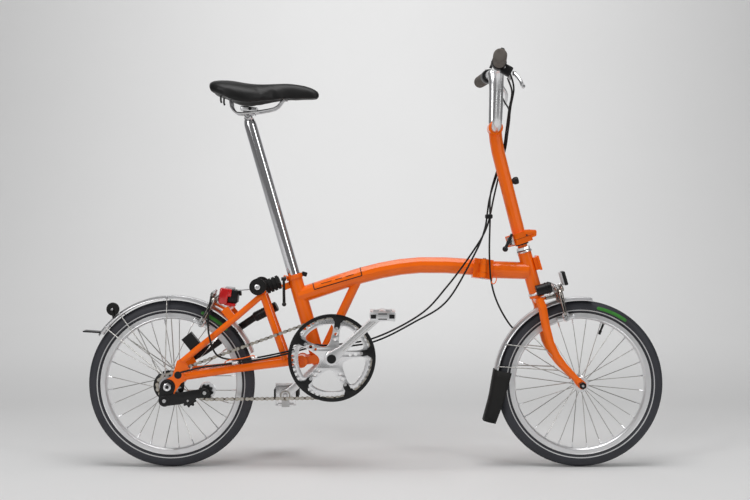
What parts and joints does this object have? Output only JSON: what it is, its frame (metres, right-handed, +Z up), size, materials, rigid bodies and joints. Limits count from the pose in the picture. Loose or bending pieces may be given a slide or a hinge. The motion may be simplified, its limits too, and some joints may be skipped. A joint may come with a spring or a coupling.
{
  "type": "folding bicycle",
  "caption": "Small-wheeled folding bicycle with a hinged main frame, folding stem, swinging rear frame, mudguards and a tall telescoping seatpost.",
  "frame": {"origin": "centre of the bounding box's base: on the ground, midway between the rear mudguard's tail and the front tyre", "axes": "+X forward, +Y to the rider's left, +Z up; the chain is on the -Y side"},
  "size_m": [1.4766, 0.5228, 1.052],
  "materials": {
    "orange_paint": "gloss powder coat",
    "silver_alloy": "polished",
    "clamp_alloy": "satin",
    "chrome": "mirror",
    "steel": "brushed",
    "black_plastic": "moulded",
    "cable_housing": "smooth",
    "black_rubber": "matte",
    "tyre": "treaded",
    "foam": "soft foam",
    "saddle_cover": "textured synthetic cover",
    "pedal_alloy": "cast, with rubber treads",
    "red_lens": "clear red lens"
  },
  "bodies": {
    "main_frame": {"main_frame": "orange_paint", "seat_clamp": "black_plastic", "main_hinge_pin": "steel"},
    "seat_clamp_lever": {"seat_clamp_lever": "black_plastic"},
    "main_hinge_clamp": {"main_hinge_clamp": "clamp_alloy"},
    "seatpost": {"seatpost": "chrome", "saddle_rails": "steel", "saddle": "saddle_cover"},
    "rear_frame": {"rear_frame": "orange_paint", "suspension_block": "black_rubber", "rear_mudguard": "silver_alloy", "rear_reflector": "red_lens", "rear_axle": "steel", "pump": "black_plastic", "stay_block": "black_plastic", "chain": "steel"},
    "right_roller": {"right_roller": "black_rubber"},
    "left_roller": {"left_roller": "black_rubber"},
    "mudguard_roller": {"mudguard_roller": "black_rubber"},
    "rear_brake_arm_right": {"rear_brake_arm_right": "silver_alloy"},
    "rear_brake_arm_left": {"rear_brake_arm_left": "silver_alloy"},
    "tensioner": {"tensioner_arm": "black_plastic"},
    "front_jockey": {"front_jockey_wheel": "black_plastic"},
    "rear_jockey": {"rear_jockey_wheel": "black_plastic"},
    "rear_wheel": {"rear_tyre": "tyre", "rear_rim": "silver_alloy", "rear_hub_and_spokes": "steel"},
    "sprocket": {"rear_sprocket": "steel"},
    "crankset": {"right_crank_and_chainring": "silver_alloy", "chain_guard": "black_plastic", "left_crank_and_axle": "silver_alloy"},
    "right_pedal": {"right_pedal": "silver_alloy"},
    "left_pedal_bearing": {"left_pedal_bearing": "steel"},
    "left_pedal": {"left_pedal": "pedal_alloy"},
    "front_frame": {"front_frame": "orange_paint", "headset": "silver_alloy"},
    "fork": {"fork": "orange_paint", "stem_base": "orange_paint", "front_axle": "steel", "front_mudguard": "silver_alloy", "front_reflector": "black_plastic"},
    "front_wheel": {"front_tyre": "tyre", "front_rim": "silver_alloy", "front_hub_and_spokes": "steel"},
    "front_brake_arm_right": {"front_brake_arm_right": "silver_alloy"},
    "front_brake_arm_left": {"front_brake_arm_left": "silver_alloy"},
    "stem_hinge_clamp": {"stem_hinge_clamp": "black_plastic"},
    "stem": {"stem": "orange_paint", "handlebar": "silver_alloy", "left_grip": "foam", "right_grip": "foam", "right_lever_bracket": "black_plastic", "left_lever_bracket": "black_plastic", "front_brake_cable": "cable_housing", "rear_brake_cable": "cable_housing", "gear_cable": "cable_housing"},
    "right_brake_lever": {"right_brake_lever": "silver_alloy"},
    "left_brake_lever": {"left_brake_lever": "silver_alloy"},
    "right_shift_lever": {"right_shift_lever": "black_plastic"},
    "left_shift_lever": {"left_shift_lever": "black_plastic"}
  },
  "joints": [
    {"name": "front_fold", "type": "hinge", "parent": "main_frame", "child": "front_frame", "pos_m": [0.2783, -0.036, 0.506], "axis": [-0.1219, -0.0872, -0.9887], "range_deg": [0, 150]},
    {"name": "steering", "type": "hinge", "parent": "front_frame", "child": "fork", "pos_m": [0.4134, 0, 0.4494], "axis": [0.2756, 0, -0.9613], "range_deg": [-30, 30]},
    {"name": "stem_fold", "type": "hinge", "parent": "fork", "child": "stem", "pos_m": [0.39847, 0.02404, 0.58868], "axis": [-0.6797, 0.7071, -0.1949], "range_deg": [0, 165], "deforming": ["front_brake_cable", "rear_brake_cable", "gear_cable"]},
    {"name": "stem_clamp_turn", "type": "hinge", "parent": "fork", "child": "stem_hinge_clamp", "pos_m": [0.34817, -0.02828, 0.57426], "axis": [-0.6797, -0.7071, -0.1949], "range_deg": [0, 90]},
    {"name": "front_wheel_spin", "type": "hinge", "parent": "fork", "child": "front_wheel", "pos_m": [0.5268, 0, 0.2115], "axis": [0, -1, 0], "continuous": true},
    {"name": "front_brake_right", "type": "hinge", "parent": "fork", "child": "front_brake_arm_right", "pos_m": [0.47214, -0.0085, 0.44827], "axis": [0.9744, 0, 0.225], "range_deg": [0, 0.8]},
    {"name": "front_brake_left", "type": "hinge", "parent": "fork", "child": "front_brake_arm_left", "pos_m": [0.47214, 0.0085, 0.44827], "axis": [-0.9744, 0, -0.225], "range_deg": [0, 0.8]},
    {"name": "right_lever_pull", "type": "hinge", "parent": "stem", "child": "right_brake_lever", "pos_m": [0.344, -0.134, 0.985], "axis": [-0.774, 0, -0.6332], "range_deg": [0, 20], "stiffness_Nm_per_rad": 1.2},
    {"name": "left_lever_pull", "type": "hinge", "parent": "stem", "child": "left_brake_lever", "pos_m": [0.344, 0.134, 0.985], "axis": [0.774, 0, 0.6332], "range_deg": [0, 20], "stiffness_Nm_per_rad": 1.2},
    {"name": "right_shift", "type": "hinge", "parent": "stem", "child": "right_shift_lever", "pos_m": [0.31, -0.1225, 1.011], "axis": [0, 1, 0], "range_deg": [-15, 15]},
    {"name": "left_shift", "type": "hinge", "parent": "stem", "child": "left_shift_lever", "pos_m": [0.31, 0.1225, 1.011], "axis": [0, 1, 0], "range_deg": [-15, 15]},
    {"name": "main_clamp_turn", "type": "hinge", "parent": "main_frame", "child": "main_hinge_clamp", "pos_m": [0.2783, 0.02277, 0.50082], "axis": [0, 0.9961, -0.0878], "range_deg": [0, 90]},
    {"name": "seatpost_slide", "type": "slide", "parent": "main_frame", "child": "seatpost", "axis": [0.279, 0, -0.9603], "range_m": [0, 0.22]},
    {"name": "seat_lever_turn", "type": "hinge", "parent": "main_frame", "child": "seat_clamp_lever", "pos_m": [-0.2262, -0.029, 0.479], "axis": [-1, 0, 0], "range_deg": [0, 100]},
    {"name": "rear_fold", "type": "hinge", "parent": "main_frame", "child": "rear_frame", "pos_m": [-0.182, 0, 0.27], "axis": [0, -1, 0], "range_deg": [0, 128], "deforming": ["chain"]},
    {"name": "rear_wheel_spin", "type": "hinge", "parent": "rear_frame", "child": "rear_wheel", "pos_m": [-0.5135, 0, 0.2115], "axis": [0, -1, 0], "continuous": true},
    {"name": "sprocket_spin", "type": "hinge", "parent": "rear_frame", "child": "sprocket", "pos_m": [-0.5135, 0, 0.2115], "axis": [0, -1, 0], "continuous": true},
    {"name": "right_roller_spin", "type": "hinge", "parent": "rear_frame", "child": "right_roller", "pos_m": [-0.29, 0, 0.46], "axis": [0, -1, 0], "continuous": true},
    {"name": "left_roller_spin", "type": "hinge", "parent": "rear_frame", "child": "left_roller", "pos_m": [-0.29, 0, 0.46], "axis": [0, -1, 0], "continuous": true},
    {"name": "mudguard_roller_spin", "type": "hinge", "parent": "rear_frame", "child": "mudguard_roller", "pos_m": [-0.6648, 0, 0.4004], "axis": [0, -1, 0], "continuous": true},
    {"name": "rear_brake_right", "type": "hinge", "parent": "rear_frame", "child": "rear_brake_arm_right", "pos_m": [-0.40318, -0.0085, 0.42801], "axis": [0.891, 0, -0.454], "range_deg": [0, 0.8]},
    {"name": "rear_brake_left", "type": "hinge", "parent": "rear_frame", "child": "rear_brake_arm_left", "pos_m": [-0.40318, 0.0085, 0.42801], "axis": [-0.891, 0, 0.454], "range_deg": [0, 0.8]},
    {"name": "tensioner_swing", "type": "hinge", "parent": "rear_frame", "child": "tensioner", "pos_m": [-0.5214, 0, 0.1765], "axis": [0, 1, 0], "range_deg": [0, 12], "stiffness_Nm_per_rad": 0.8, "springref_deg": 20.05},
    {"name": "front_jockey_spin", "type": "hinge", "parent": "tensioner", "child": "front_jockey", "pos_m": [-0.4205, -0.051, 0.1964], "axis": [0, -1, 0], "continuous": true},
    {"name": "rear_jockey_spin", "type": "hinge", "parent": "tensioner", "child": "rear_jockey", "pos_m": [-0.4625, -0.051, 0.177], "axis": [0, -1, 0], "continuous": true},
    {"name": "crank_spin", "type": "hinge", "parent": "main_frame", "child": "crankset", "pos_m": [-0.1035, 0, 0.2825], "axis": [0, -1, 0], "continuous": true},
    {"name": "right_pedal_spin", "type": "hinge", "parent": "crankset", "child": "right_pedal", "pos_m": [0.02303, 0, 0.39603], "axis": [0, -1, 0], "continuous": true},
    {"name": "left_pedal_spin", "type": "hinge", "parent": "crankset", "child": "left_pedal_bearing", "pos_m": [-0.23003, 0, 0.16897], "axis": [0, -1, 0], "continuous": true},
    {"name": "left_pedal_fold", "type": "hinge", "parent": "left_pedal_bearing", "child": "left_pedal", "pos_m": [-0.23003, 0.0865, 0.13897], "axis": [-1, 0, 0], "range_deg": [0, 90]}
  ],
  "couplings": [
    {"joint": "sprocket_spin", "follows": "crank_spin", "ratio": 3.5714},
    {"joint": "front_jockey_spin", "follows": "crank_spin", "ratio": 5.5556},
    {"joint": "rear_jockey_spin", "follows": "crank_spin", "ratio": -5.5556},
    {"joint": "front_brake_right", "follows": "right_lever_pull", "ratio": 0.04},
    {"joint": "front_brake_left", "follows": "right_lever_pull", "ratio": 0.04},
    {"joint": "rear_brake_right", "follows": "left_lever_pull", "ratio": 0.04},
    {"joint": "rear_brake_left", "follows": "left_lever_pull", "ratio": 0.04}
  ]
}
